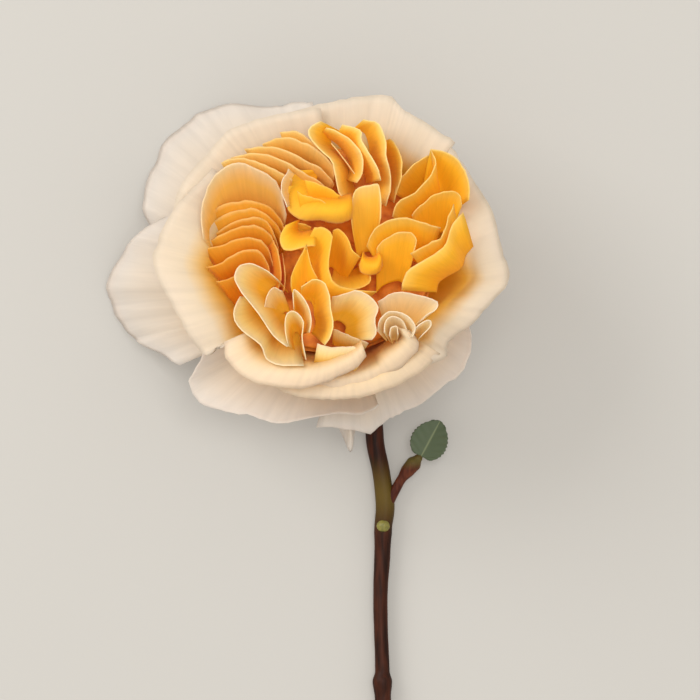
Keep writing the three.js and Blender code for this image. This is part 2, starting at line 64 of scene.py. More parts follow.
material, tree, paint = shader("table_top")
paint.inputs["Base Color"].default_value = linear(160, 157, 151)
paint.inputs["Roughness"].default_value = 0.9
paint.inputs["Specular IOR Level"].default_value = 0.1
paint.inputs["Emission Color"].default_value = linear(200, 194, 186)
paint.inputs["Emission Strength"].default_value = 0.22
bpy.ops.mesh.primitive_plane_add(size=6, location=(0, 0, -0.0002))
floor = bpy.context.object
floor.name = "table"
floor.data.materials.append(material)

# The light: a pale room with a broad soft window on the left, a little above the bloom.
# Shadows are faint, and the right side of the rose is only slightly darker than the left.
scene = bpy.context.scene
scene.view_settings.view_transform = "Standard"
world = bpy.data.worlds.new("room")
scene.world = world
world.use_nodes = True
world.node_tree.nodes["Background"].inputs["Color"].default_value = (1.0, 0.985, 0.965, 1)
world.node_tree.nodes["Background"].inputs["Strength"].default_value = 0.97


def window(name, place, size, power):
    """A square soft light that faces the bloom."""
    light = bpy.data.lights.new(name, "AREA")
    light.size = size
    light.energy = power
    lamp = bpy.data.objects.new(name, light)
    lamp.location = place
    lamp.rotation_euler = (Vector((0, 0.04, 0.03)) - Vector(place)).to_track_quat("-Z", "Y").to_euler()
    scene.collection.objects.link(lamp)


window("window_left", (-0.95, 0.65, 0.9), 0.8, 12)
window("window_top", (0.2, 0.2, 1.6), 0.7, 10)

# The hip: a green urn under the bloom, with the pistils in its mouth.
# The hip's own place tells where the bloom's frame stands in the part's frame.
HIP_TOP = Vector((7, -7, 25))
HIP_AXIS = Vector((-0.2, 0.38, 0.9)).normalized()
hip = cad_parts["hip"]
spots = {tuple(round(c, 6) for c in corner.co) for corner in hip.data.vertices}
reach = max(Vector(spot).dot(HIP_AXIS) for spot in spots)
mouth = [Vector(spot) for spot in spots if Vector(spot).dot(HIP_AXIS) > reach - 1e-5]
BLOOM_AT = sum(mouth, Vector()) / len(mouth) * 1000 - HIP_TOP


def face_point(x, y, over):
    """A point in the bloom's frame, over the open face, which rises to the right and to the stem."""
    return Vector((x, y, 50 + 0.15 * x - 0.25 * y + over))


def to_part(point):
    """A point in the bloom's frame, in millimetres, as one in the part's frame, in metres."""
    return (point + BLOOM_AT) / 1000


def mottled(name, dark, light, grain, roughness, bump):
    """A soft plant skin: two colours mixed by a noise of the given grain, with fine bumps."""
    material, tree, paint = shader(name)
    place = tree.nodes.new("ShaderNodeTexCoord")
    spots = tree.nodes.new("ShaderNodeTexNoise")
    spots.inputs["Scale"].default_value = grain
    spots.inputs["Detail"].default_value = 4
    ramp = tree.nodes.new("ShaderNodeValToRGB")
    ramp.color_ramp.elements[0].position = 0.35
    ramp.color_ramp.elements[0].color = linear(*dark)
    ramp.color_ramp.elements[1].position = 0.65
    ramp.color_ramp.elements[1].color = linear(*light)
    dents = tree.nodes.new("ShaderNodeBump")
    dents.inputs["Strength"].default_value = bump
    dents.inputs["Distance"].default_value = 0.0003
    link(tree, place, "Object", spots, "Vector")
    link(tree, spots, "Fac", ramp, "Fac")
    link(tree, ramp, "Color", paint, "Base Color")
    link(tree, spots, "Fac", dents, "Height")
    link(tree, dents, "Normal", paint, "Normal")
    paint.inputs["Roughness"].default_value = roughness
    return material


def restyle(node, material):
    """Gives a CAD node its finished material and soft shading."""
    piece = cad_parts[node]
    piece.data.materials.clear()
    piece.data.materials.append(material)
    piece.data.shade_smooth()


restyle("hip", mottled("hip_skin", (104, 118, 58), (138, 148, 82), 500, 0.5, 0.3))
restyle("pistils", mottled("pistils_skin", (176, 120, 30), (214, 160, 70), 2500, 0.7, 1))

# The sepals: five narrow green leaves at the hip's shoulder, bent back under the bloom.
# Their tips are drawn out thin.


def sheet(name, surface, thickness, across, along, material):
    """A bent sheet: surface(u, v) for u from -1 to 1 and v from 0 to 1, in the bloom's frame."""
    mesh = bpy.data.meshes.new(name)
    shape = bmesh.new()
    bmesh.ops.create_grid(shape, x_segments=across, y_segments=along, size=1)
    chart = shape.loops.layers.uv.new("petal")
    for face in shape.faces:
        for loop in face.loops:
            loop[chart].uv = ((loop.vert.co.x + 1) / 2, (loop.vert.co.y + 1) / 2)
    for corner in shape.verts:
        corner.co = to_part(surface(corner.co.x, (corner.co.y + 1) / 2))
    bmesh.ops.recalc_face_normals(shape, faces=shape.faces)
    shape.to_mesh(mesh)
    shape.free()
    mesh.shade_smooth()
    mesh.materials.append(material)
    piece = bpy.data.objects.new(name, mesh)
    scene.collection.objects.link(piece)
    body = piece.modifiers.new("thickness", "SOLIDIFY")
    body.thickness = thickness / 1000
    body.offset = 0
    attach(piece, "root")
    return piece


green = mottled("sepal_skin", (96, 112, 56), (134, 146, 88), 700, 0.6, 0.4)
for number, degrees in enumerate([22, 98, 165, 238, 312], 1):
    angle = math.radians(degrees)
    out = Vector((math.cos(angle), math.sin(angle), 0))
    side = Vector((-out.y, out.x, 0))
    shoulder = HIP_TOP - HIP_AXIS * 1.6 + out * 4.9

    def sepal(u, v):
        half = 3.1 * (1 - v) ** 0.75 * (0.75 + 0.6 * v) + 0.35
        half *= 1 + 0.08 * math.sin(9 * v + number)
        point = shoulder + out * (15 * math.sin(1.25 * v) + 0.5 * v) + side * (half * u)
        point.z += 1.4 * v - 15.5 * v * v + 0.8 * u * u * (1 - v) - 0.25 * (1 - abs(u)) ** 3
        return point

    piece = sheet(f"sepal_leaf_{number}", sepal, 0.7, 12, 24, green)
    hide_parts(f"sepal_{number}")

# The stem: smooth maroon-brown bark, from the hip's foot down to the table and along it.
# It swells at its nodes, and ends in a slanting cut that shows the pale pith.


def stalk(name, stations, sides, steps, slant, material, pith=None):
    """A round stalk through stations [x, y, z, radius] in the bloom's frame, closed at both ends."""
    mesh = bpy.data.meshes.new(name)
    shape = bmesh.new()
    bmesh.ops.create_grid(shape, x_segments=sides, y_segments=steps, size=1)
    points = [Vector(station[:3]) for station in stations]
    for corner in shape.verts:
        turn = math.pi * corner.co.x
        t = (corner.co.y + 1) / 2
        at = t * (len(stations) - 1)
        before = min(int(at), len(stations) - 2)
        share = at - before
        share = share * share * (3 - 2 * share)
        radius = stations[before][3] + (stations[before + 1][3] - stations[before][3]) * share
        middle = along_curve(points, t)
        nudge = 0.004
        ahead = along_curve(points, min(t + nudge, 1)) - along_curve(points, max(t - nudge, 0))
        ahead.normalize()
        side = (Vector((1, 0, 0)) - ahead * ahead.x).normalized()
        up = ahead.cross(side)
        bark = noise.noise(Vector((math.cos(turn), math.sin(turn), middle.y / 6))) * 0.09
        bark += noise.noise(Vector((3 * math.cos(turn), 3 * math.sin(turn), middle.y / 2))) * 0.03
        ring = side * math.cos(turn) + up * math.sin(turn)
        lean = slant * math.cos(turn) * max(0, (t - 0.97) / 0.03) ** 2
        corner.co = to_part(middle + ring * (radius + bark) - ahead * radius * lean)
    bmesh.ops.remove_doubles(shape, verts=shape.verts, dist=1e-5)
    rims = [edge for edge in shape.edges if edge.is_boundary]
    caps = bmesh.ops.holes_fill(shape, edges=rims, sides=0)["faces"]
    for cap in caps:
        cap.material_index = 1 if pith else 0
    bmesh.ops.recalc_face_normals(shape, faces=shape.faces)
    shape.to_mesh(mesh)
    shape.free()
    mesh.shade_smooth()
    mesh.materials.append(material)
    if pith:
        mesh.materials.append(pith)
    piece = bpy.data.objects.new(name, mesh)
    scene.collection.objects.link(piece)
    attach(piece, "root")
    return piece


def along_curve(points, t):
    """The point at t, from 0 to 1, on a smooth curve through the points."""
    last = len(points) - 1
    before = min(int(t * last), last - 1)
    w = t * last - before
    b, c = points[before], points[before + 1]
    a = points[before - 1] if before > 0 else 2 * b - c
    d = points[before + 2] if before + 2 <= last else 2 * c - b
    ab, bc, cd = ((q - p).length ** 0.5 for p, q in ((a, b), (b, c), (c, d)))
    start = ((b - a) / ab - (c - a) / (ab + bc) + (c - b) / bc) * bc
    end = ((c - b) / bc - (d - b) / (bc + cd) + (d - c) / cd) * bc
    bend = -3 * b + 3 * c - 2 * start - end
    return b + start * w + bend * w * w + (2 * b - 2 * c + start + end) * w**3


def bark_skin(name, dark, light, tint, centre, extent):
    """Bark in two browns, streaked along the stalk, with a tinted zone at a centre along Y."""
    material, tree, paint = shader(name)
    place = tree.nodes.new("ShaderNodeTexCoord")
    stretch = tree.nodes.new("ShaderNodeMapping")
    stretch.inputs["Scale"].default_value = (900, 110, 900)
    streaks = tree.nodes.new("ShaderNodeTexNoise")
    streaks.inputs["Scale"].default_value = 1
    streaks.inputs["Detail"].default_value = 5
    ramp = tree.nodes.new("ShaderNodeValToRGB")
    ramp.color_ramp.elements[0].position = 0.35
    ramp.color_ramp.elements[0].color = linear(*dark)
    ramp.color_ramp.elements[1].position = 0.68
    ramp.color_ramp.elements[1].color = linear(*light)
    split = tree.nodes.new("ShaderNodeSeparateXYZ")
    offset = tree.nodes.new("ShaderNodeMath")
    offset.operation = "SUBTRACT"
    offset.inputs[1].default_value = centre
    apart = tree.nodes.new("ShaderNodeMath")
    apart.operation = "ABSOLUTE"
    band = tree.nodes.new("ShaderNodeMapRange")
    band.inputs["From Min"].default_value = extent
    band.inputs["From Max"].default_value = 0
    band.interpolation_type = "SMOOTHSTEP"
    mix = tree.nodes.new("ShaderNodeMix")
    mix.data_type = "RGBA"
    mix.inputs["B"].default_value = linear(*tint)
    dents = tree.nodes.new("ShaderNodeBump")
    dents.inputs["Strength"].default_value = 0.35
    dents.inputs["Distance"].default_value = 0.0003
    link(tree, place, "Object", stretch, "Vector")
    link(tree, stretch, "Vector", streaks, "Vector")
    link(tree, streaks, "Fac", ramp, "Fac")
    link(tree, place, "Object", split, "Vector")
    link(tree, split, "Y", offset, 0)
    link(tree, offset, 0, apart, 0)
    link(tree, apart, 0, band, "Value")
    link(tree, band, "Result", mix, "Factor")
    link(tree, ramp, "Color", mix, "A")
    link(tree, mix, "Result", paint, "Base Color")
    link(tree, streaks, "Fac", dents, "Height")
    link(tree, dents, "Normal", paint, "Normal")
    paint.inputs["Roughness"].default_value = 0.5
    paint.inputs["Specular IOR Level"].default_value = 0.12
    return material


foot = HIP_TOP - HIP_AXIS * 12.3
neck = foot - HIP_AXIS * 4
bark = bark_skin("stem_bark", (30, 10, 2), (64, 28, 12), (84, 66, 22), -0.0135, 0.011)
pith = mottled("stem_pith", (176, 182, 130), (206, 206, 160), 900, 0.7, 0.4)
stem = stalk("stem_bark", [
    [*foot, 2.2],
    [*neck, 2.1],
    [11.5, -19, 6, 2.2],
    [12.6, -28, 3.3, 2.25],
    [13.5, -38, 2.5, 2.3],
    [14, -46, 2.4, 2.3],
    [15.6, -54, 2.4, 2.25],
    [16.5, -62, 2.45, 2.45],
    [16, -67.5, 2.5, 2.3],
    [15.8, -74, 2.4, 2.05],
    [15.3, -85, 2.4, 1.85],
    [15.5, -96, 2.4, 1.8],
    [15.8, -104, 2.45, 1.85],
    [15.8, -107, 2.5, 2.5],
    [15.9, -111, 2.4, 2.1],
    [16.2, -119, 2.3, 1.9],
    [16.8, -131, 2.2, 1.95],
], 28, 260, 1.2, bark, pith)
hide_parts("stem")

# The side shoot: a short stalk cut back above its swollen top, reddish, with an orange foot.
# The bud beside it sits in a leaf scar on the stem and is still green.
shoot_bark = bark_skin("shoot_bark", (58, 22, 12), (98, 50, 30), (84, 72, 34), -0.0045, 0.003)
shoot = stalk("shoot_bark", [
    [16.6, -62.5, 2.7, 1.5],
    [18.7, -58.6, 3.2, 1.25],
    [20.6, -55.2, 3.7, 1.2],
    [22.4, -52.7, 4.1, 1.8],
    [23.8, -51, 4.3, 1.95],
    [25, -49.6, 4.5, 1.1],
    [25.6, -48.9, 4.6, 0.7],
], 20, 60, 0, shoot_bark)
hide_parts("side_shoot")
restyle("stem_bud", mottled("bud_skin", (88, 86, 26), (126, 116, 44), 900, 0.5, 0.4))

# The leaf: one small round leaf on the side shoot, dull green, with a toothed edge.
# Its two halves fold up a little along the midrib, and its veins run to the teeth.


def leaf_blade(u, v):
    broad = math.sin(math.pi * (0.05 + 0.9 * v) ** 0.85) ** 0.5
    teeth = 1 + 0.035 * math.sin(60 * v) * abs(u) ** 4
    point = Vector((25.7, -49.2, 5))
    point += Vector((0.47, 0.88, 0.14)).normalized() * (10.4 * v * (1 - 0.08 * u * u))
    point += Vector((0.88, -0.47, 0.05)).normalized() * (4.7 * broad * teeth * u)
    point.z += 0.9 * abs(u) * broad + 0.1 * math.sin(30 * v - 9 * abs(u)) * abs(u)
    return point


material, tree, paint = shader("leaf_skin")
chart = tree.nodes.new("ShaderNodeTexCoord")
split = tree.nodes.new("ShaderNodeSeparateXYZ")
offset = tree.nodes.new("ShaderNodeMath")
offset.operation = "SUBTRACT"
offset.inputs[1].default_value = 0.5
width = tree.nodes.new("ShaderNodeMath")
width.operation = "ABSOLUTE"
midrib = tree.nodes.new("ShaderNodeValToRGB")
midrib.color_ramp.elements[0].position = 0.01
midrib.color_ramp.elements[0].color = linear(100, 108, 72)
midrib.color_ramp.elements[1].position = 0.045
midrib.color_ramp.elements[1].color = linear(64, 76, 46)
link(tree, chart, "UV", split, "Vector")
link(tree, split, "X", offset, 0)
link(tree, offset, 0, width, 0)
link(tree, width, 0, midrib, "Fac")
link(tree, midrib, "Color", paint, "Base Color")
paint.inputs["Roughness"].default_value = 0.55
leaf = sheet("leaf_blade", leaf_blade, 0.4, 28, 40, material)
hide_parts("leaf")

# The guard petals: the outermost whorl, cream, bent back until some touch the table.
# They are broad and thin, with a soft uneven edge and faint veins that fan out from the claw.
# A petal is [profile, rim, foot]. The profile gives the share of the way out and up at two control
# points. The rim is [x, y, height over the open face]. An inner petal's foot is [x, y, height, share].
DROOPING = [0.4, -0.25, 0.85, 0.25]
seeds = itertools.count(1)


def petal_skin(name, claw, middle, rim, edge, turn=0.93):
    """A petal's tissue: coloured from claw to edge, finely veined along its length, and translucent."""
    material, tree, paint = shader(name)
    chart = tree.nodes.new("ShaderNodeTexCoord")
    stretch = tree.nodes.new("ShaderNodeMapping")
    stretch.inputs["Scale"].default_value = (34, 2.2, 1)
    veins = tree.nodes.new("ShaderNodeTexNoise")
    veins.inputs["Scale"].default_value = 1
    veins.inputs["Detail"].default_value = 3
    veins.inputs["Distortion"].default_value = 0.5
    patches = tree.nodes.new("ShaderNodeTexNoise")
    patches.inputs["Scale"].default_value = 90
    patches.inputs["Detail"].default_value = 2
    split = tree.nodes.new("ShaderNodeSeparateXYZ")
    shift = tree.nodes.new("ShaderNodeMath")
    shift.operation = "MULTIPLY_ADD"
    shift.inputs[1].default_value = 0.16
    height = tree.nodes.new("ShaderNodeMath")
    height.operation = "ADD"
    ramp = tree.nodes.new("ShaderNodeValToRGB")
    stops = ramp.color_ramp.elements
    stops[0].position = 0.25
    stops[0].color = linear(*claw)
    stops[1].position = turn - 0.27
    stops[1].color = linear(*middle)
    stops.new(turn).color = linear(*rim)
    stops.new(1).color = linear(*edge)
    tone = tree.nodes.new("ShaderNodeHueSaturation")
    fade = tree.nodes.new("ShaderNodeMapRange")
    fade.inputs["From Min"].default_value = 0.3
    fade.inputs["From Max"].default_value = 0.7
    fade.inputs["To Min"].default_value = 0.955
    fade.inputs["To Max"].default_value = 1.03
    dents = tree.nodes.new("ShaderNodeBump")
    dents.inputs["Strength"].default_value = 0.35
    dents.inputs["Distance"].default_value = 0.00025
    through = tree.nodes.new("ShaderNodeBsdfTranslucent")
    blend = tree.nodes.new("ShaderNodeMixShader")
    blend.inputs["Fac"].default_value = 0.5
    link(tree, chart, "UV", stretch, "Vector")
    link(tree, stretch, "Vector", veins, "Vector")
    link(tree, chart, "Object", patches, "Vector")
    link(tree, chart, "UV", split, "Vector")
    link(tree, patches, "Fac", shift, 0)
    shift.inputs[2].default_value = -0.08
    link(tree, shift, 0, height, 0)
    link(tree, split, "Y", height, 1)
    link(tree, height, 0, ramp, "Fac")
    link(tree, ramp, "Color", tone, "Color")
    link(tree, veins, "Fac", fade, "Value")
    link(tree, fade, "Result", tone, "Value")
    link(tree, tone, "Color", paint, "Base Color")
    link(tree, tone, "Color", through, "Color")
    link(tree, veins, "Fac", dents, "Height")
    link(tree, dents, "Normal", paint, "Normal")
    paint.inputs["Roughness"].default_value = 0.6
    paint.inputs["Specular IOR Level"].default_value = 0.3
    paint.inputs["Sheen Weight"].default_value = 0.1
    out = tree.nodes["Material Output"]
    link(tree, paint, "BSDF", blend, 1)
    link(tree, through, "BSDF", blend, 2)
    link(tree, blend, "Shader", out, "Surface")
    return material


def whorl(skin, ring, lift, start, wave, petals):
    """Builds a whorl's petals: ring and lift place their claws, and wave is how far they ripple."""
    for name, (profile, rim, *foot) in petals.items():
        seed = 7.3 * next(seeds)
        edge = [face_point(*station) for station in rim]
        middle = sum(edge, Vector()) / len(edge)
        out = (middle - HIP_TOP) * Vector((1, 1, 0))
        claw = HIP_TOP + out.normalized() * ring + Vector((0, 0, lift))
        width = 0.1
        if foot:
            *place, width = foot[0]
            claw = face_point(*place)
        one, rise_one, two, rise_two = profile

        def bare(u, v):
            tip = along_curve(edge, (u + 1) / 2)
            root = claw + (tip - middle) * Vector((width, width, 0))
            reach = tip - root
            low = root + reach * Vector((one, one, rise_one))
            high = root + reach * Vector((two, two, rise_two))
            w = 1 - v
            return root * w**3 + low * (3 * w * w * v) + high * (3 * w * v * v) + tip * v**3

        length = sum((b - a).length for a, b in zip(edge, edge[1:]))

        def surface(u, v):
            v = v if foot else start + (1 - start) * v
            step = 0.01
            a = bare(min(u + step, 1), v) - bare(max(u - step, -1), v)
            b = bare(u, min(v + step, 1)) - bare(u, max(v - step, 0))
            normal = a.cross(b).normalized()
            at = u * length / 22
            fold = 1.3 * noise.noise(Vector((at, v * 0.9, seed)))
            fold += 0.6 * noise.noise(Vector((at * 2.7, v * 1.5, seed + 3)))
            nick = noise.noise(Vector((at * 5, 0, seed + 9)))
            nick += 0.5 * noise.noise(Vector((at * 11, 0, seed)))
            point = bare(u, v) + normal * (fold * wave * (0.25 + v * v))
            return point + b.normalized() * (nick * 0.45 * max(0, v - 0.8) / 0.2)

        across = max(16, min(56, int(length / 1.6)))
        piece = sheet("petal_" + name, surface, 0.24, across, 26, skin)
        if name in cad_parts:
            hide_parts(name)


guard_skin = petal_skin(
    "guard_petal_skin", (238, 206, 150), (233, 220, 202), (232, 224, 214), (233, 223, 212))
whorl(guard_skin, 4.6, 0, 0, 1.2, {
    "guard_left": [DROOPING, [[-36, 15, -26], [-46, 8, -28], [-50.5, 4, -33], [-55, -6, -41],
      [-52, -11, -44], [-49, -18, -43], [-46.5, -20.5, -40], [-36, -26, -34]]],
    "guard_top_left": [DROOPING, [[-40, 2, -32], [-44.8, 14, -33], [-43, 25, -35], [-37, 34, -35.7],
      [-28, 39, -32], [-13, 41, -26], [-2, 41, -22]]],
    "guard_right": [DROOPING, [[21, 30, -22], [31, 25, -33], [38.5, 14, -45], [41.5, 3, -53.5],
      [40, -8, -50], [34, -16, -38]]],
    "guard_bottom_right": [DROOPING, [[36, -12, -30], [38.6, -18.4, -33], [36, -27, -35],
      [31, -31.5, -36], [26.5, -35, -37], [20.5, -38, -39], [17, -39.5, -40], [13, -43.3, -43],
      [7, -42.2, -40], [-1, -41.7, -37]]],
    "guard_bottom": [DROOPING, [[-29, -21, -22], [-32, -28, -25], [-33, -31, -27], [-30.5, -35, -29],
      [-24, -37.5, -29], [-17, -38.8, -28], [-11, -40.5, -28], [-5, -40.2, -27], [3, -39, -26],
      [10, -37, -24], [14, -35, -22]]],
    "guard_tip": [DROOPING, [[3.4, -41.2, -45], [5.1, -43.2, -46], [7.6, -48, -46.5], [9.1, -43.4, -46],
      [10.4, -41.2, -45]]],
})

# The collar petals: the wall of the cup, cream outside, rolled outwards at the rim.
# Their inner face warms to yellow towards the claw.
ROLLED = [0.9, 0, 0.5, 1.3]
collar_skin = petal_skin(
    "collar_petal_skin", (246, 188, 50), (246, 206, 88), (231, 217, 193), (232, 219, 200), 0.84)
whorl(collar_skin, 3.8, 0.4, 0.04, 1.1, {
    "collar_top": [ROLLED, [[-10, 37.5, -7], [2, 40.5, -9], [10, 42, -10], [17.5, 42, -10],
      [21, 38.5, -9], [27, 35, -9], [34, 30, -9]]],
    "collar_top_left": [ROLLED, [[-38, 9, -6], [-35, 20, -6], [-28, 28, -7], [-23, 33.5, -8],
      [-12, 37.3, -7], [0, 39, -6]]],
    "collar_left": [ROLLED, [[-27, 24, -6], [-34, 17, -5], [-40, 7, -4], [-42, 0, -3.5], [-38, -9, -4],
      [-33, -18, -5], [-29.5, -23, -6], [-25, -21, -5]]],
    "collar_right": [ROLLED, [[33, 29, -8.5], [38, 21.5, -9], [43, 13, -9], [45.5, 3, -10],
      [47.5, -4, -11], [43, -10, -10], [38, -15.5, -9], [32.5, -20, -8], [31.5, -23.5, -7],
      [24, -27, -6], [17, -31, -6]]],
})

# The lip petals: the low front of the cup, three deep, each showing a pale rounded rim.
lip_skin = petal_skin(
    "lip_petal_skin", (246, 190, 60), (246, 206, 112), (239, 220, 186), (240, 223, 198), 0.84)
whorl(lip_skin, 3.2, 0.8, 0.1, 0.8, {
    "lip_outer": [ROLLED, [[30, -23, -5], [27, -26, -5], [21, -29.6, -5], [14, -33, -5], [7, -34.4, -5],
      [1, -34.6, -5.5], [-5, -33.4, -7], [-12, -31, -9]]],
    "lip_middle": [ROLLED, [[23, -18, 0], [24.4, -21.5, -1], [22, -24.5, -2], [18, -27.5, -3],
      [15, -29.7, -4], [10, -31.4, -4], [4, -32.2, -4], [-3, -31.2, -5.5],
      [-9, -29.5, -7.5]]],
    "lip_inner": [ROLLED, [[-24, -20, -4], [-23.5, -24.5, -4], [-20, -28, -4], [-15, -30.2, -3.5],
      [-8, -31.3, -2.5], [-2, -31, -2], [4, -28.8, -1], [9, -26, -0.5], [11.5, -23.4, 0]]],
})

# The left quarter: petals nested one in another like an open fan, peach with pale rims. Their skin is a
# deep orange that is partly their own colour and partly painted shade where they nest one in another.
LEANING = [0.3, 0.35, 0.7, 0.8]
SPOON = [0.45, 0.15, 0.85, 0.7]
# Painted shade: these deep orange colours stand in for the shade among the nested arches, laid over the
# petals' own peach tone.
left_skin_and_shade = petal_skin(
    "left_petal_skin_and_shade", (243, 148, 12), (240, 160, 20), (238, 176, 50), (243, 202, 114))
wrap_skin = petal_skin(
    "wrap_petal_skin", (242, 176, 54), (243, 196, 92), (240, 216, 164), (242, 222, 184))
whorl(wrap_skin, 3, 1, 0.1, 0.3, {
    "left_wrap": [SPOON, [[-29.5, 6, -3.5], [-30, 12, -1.5], [-28.6, 18, 0], [-25.4, 23, 0.5],
      [-20.5, 25, 0.5], [-15.6, 23.4, 0], [-11.5, 20.8, -1], [-9.8, 17.4, -3], [-8.4, 12, -5]],
      [-17, 2, -14, 0.5]],
})
whorl(left_skin_and_shade, 3, 1, 0.1, 0.6, {
    "left_arch_1": [LEANING, [[-29, 10.5, -7], [-26, 13.8, -5], [-21, 15.4, -4], [-16.5, 15.4, -3.5],
      [-12.5, 13.6, -4], [-9.8, 10.5, -6], [-8.5, 7, -8]], [-16, 0, -15, 0.6]],
    "left_arch_2": [LEANING, [[-28.4, 8.8, -7.5], [-25, 11.6, -5.5], [-20, 13.2, -4.5], [-16, 13.4, -4],
      [-12.5, 11.6, -4.5], [-10.3, 8.6, -6], [-9.3, 5, -8]], [-16, -1, -16, 0.6]],
    "left_arch_3": [LEANING, [[-27.6, 6.6, -8], [-23, 9.6, -6], [-19, 11.2, -5], [-15.5, 11.4, -4.5],
      [-12.8, 9.6, -5], [-11.2, 6.6, -6.5], [-10.3, 3, -8]], [-16, -2, -16, 0.6]],
    "left_arch_4": [LEANING, [[-30, 5, -8], [-26, 6.4, -6], [-22, 8.4, -5], [-18, 9.4, -4],
      [-14.5, 8.8, -4.5], [-12, 6.2, -6], [-11, 1.5, -8]], [-16, -4, -16, 0.6]],
    "left_arch_6": [LEANING, [[-28.5, -1, -7], [-25, 0, -5.5], [-21.5, 2.3, -4.5], [-18, 3.5, -4],
      [-15, 2.8, -4.5], [-13.2, 0, -6], [-12.4, -4, -8]], [-16, -8, -16, 0.6]],
    "left_tail_1": [LEANING, [[-11.4, 5.5, -5], [-10.4, 2.5, -4], [-9.8, -1.5, -4], [-10, -5.5, -5],
      [-10.6, -8.5, -7]], [-13, -2, -11, 0.8]],
    "left_tail_2": [LEANING, [[-9.6, 2.4, -6], [-8.7, -0.6, -5], [-8.4, -4, -5], [-8.9, -7.5, -6]],
      [-10.6, -3, -11, 0.8]],
    "left_arch_5": [LEANING, [[-29.8, 3.6, -8], [-26, 4, -6], [-22, 5.4, -5], [-18, 6.6, -4.5],
      [-15, 6, -5], [-12.6, 3.4, -6.5], [-11.6, -1, -8]], [-16, -6, -16, 0.6]],
    "left_arch_7": [LEANING, [[-26, -5, -7], [-22.5, -4, -6], [-19, -2.5, -5.5], [-15.6, -3, -6],
      [-13.4, -5.6, -7]], [-16, -12, -15, 0.6]],
})

# The top left quarter: long petals lying one over another towards the middle.
fan_skin = petal_skin(
    "fan_petal_skin", (247, 188, 52), (246, 201, 82), (245, 210, 120), (245, 218, 150))
whorl(fan_skin, 3, 1, 0.1, 0.35, {
    "fan_2": [LEANING, [[-14.6, 29.8, -1], [-9, 31.4, 0], [-4, 30.2, 0.5], [0, 27.8, 0], [2.8, 24.6, -1],
      [3.6, 21, -3]], [-4, 20, -13, 0.6]],
    "fan_3": [LEANING, [[-19, 28.4, -1], [-13.5, 29, 0], [-8, 27.8, 0], [-3, 25.4, 0],
      [1, 23, -1], [3.6, 19.6, -3]], [-5, 18, -13, 0.6]],
    "fan_4": [LEANING, [[-22.6, 26.6, -1], [-17, 27.4, 0], [-12, 26.6, 0], [-7, 24.4, 0], [-2, 21.6, -1],
      [2.6, 18, -3]], [-7, 16, -13, 0.6]],
    "fan_5": [LEANING, [[-25, 25.2, -1], [-20.6, 26.2, 0], [-15, 25, 0], [-10.4, 22.8, 0],
      [-7, 20.6, -1]], [-14, 15, -13, 0.6]],
    "fan_1": [LEANING, [[-10, 32.6, -1], [-6, 33, 0], [-3, 31.4, 0], [0, 28.6, -1]], [-4, 23, -11, 0.6]],
})

# The top quarter: folded petals on edge, clear yellow, running in towards the middle.
fold_skin = petal_skin(
    "fold_petal_skin", (252, 204, 44), (252, 213, 80), (249, 224, 136), (249, 231, 168))
whorl(fold_skin, 2.6, 1.2, 0.1, 0.5, {
    "fold_6": [LEANING, [[11, 36, -2], [14.6, 35, 0], [16.2, 31, 1], [16.6, 27, 1], [17.6, 23.4, 0],
      [17.6, 19, -1], [16.6, 14, -3]], [12, 26, -10, 0.8]],
    "fold_4": [LEANING, [[5.4, 34.4, 0], [9.8, 33, 2], [10.5, 30, 3], [12.6, 26.8, 3.5], [14.8, 23, 3],
      [15.2, 20.4, 1]], [8.5, 26, -7, 0.8]],
    "fold_2": [LEANING, [[1.7, 34, 0], [5, 32.6, 1], [8.3, 30, 1.5], [10.7, 26, 1.5], [10.4, 22.4, 0.5],
      [8.9, 20, -1]], [4.6, 27, -8, 0.8]],
    "fold_1": [LEANING, [[0, 35.6, 0], [-2.8, 34, 1], [-2.6, 31, 1.5], [-0.6, 28.4, 2], [2.4, 25.8, 2],
      [3.8, 22.4, 1], [4.4, 18, 0], [6.6, 14, -1]], [6, 26, -9, 0.75]],
    "fold_3": [LEANING, [[2.8, 30, -3], [5, 27, -3], [7.2, 24, -3], [8.8, 21, -4]],
        [6.6, 24.4, -10, 0.8]],
    "fold_5": [SPOON, [[7.6, 11, -1], [7.6, 15.4, 1], [9, 18.5, 2], [12.5, 19.2, 2.5],
      [14.8, 19.6, 2], [15.6, 16, 1], [15.2, 11, -1]], [12, 1, -8, 0.5]],
})

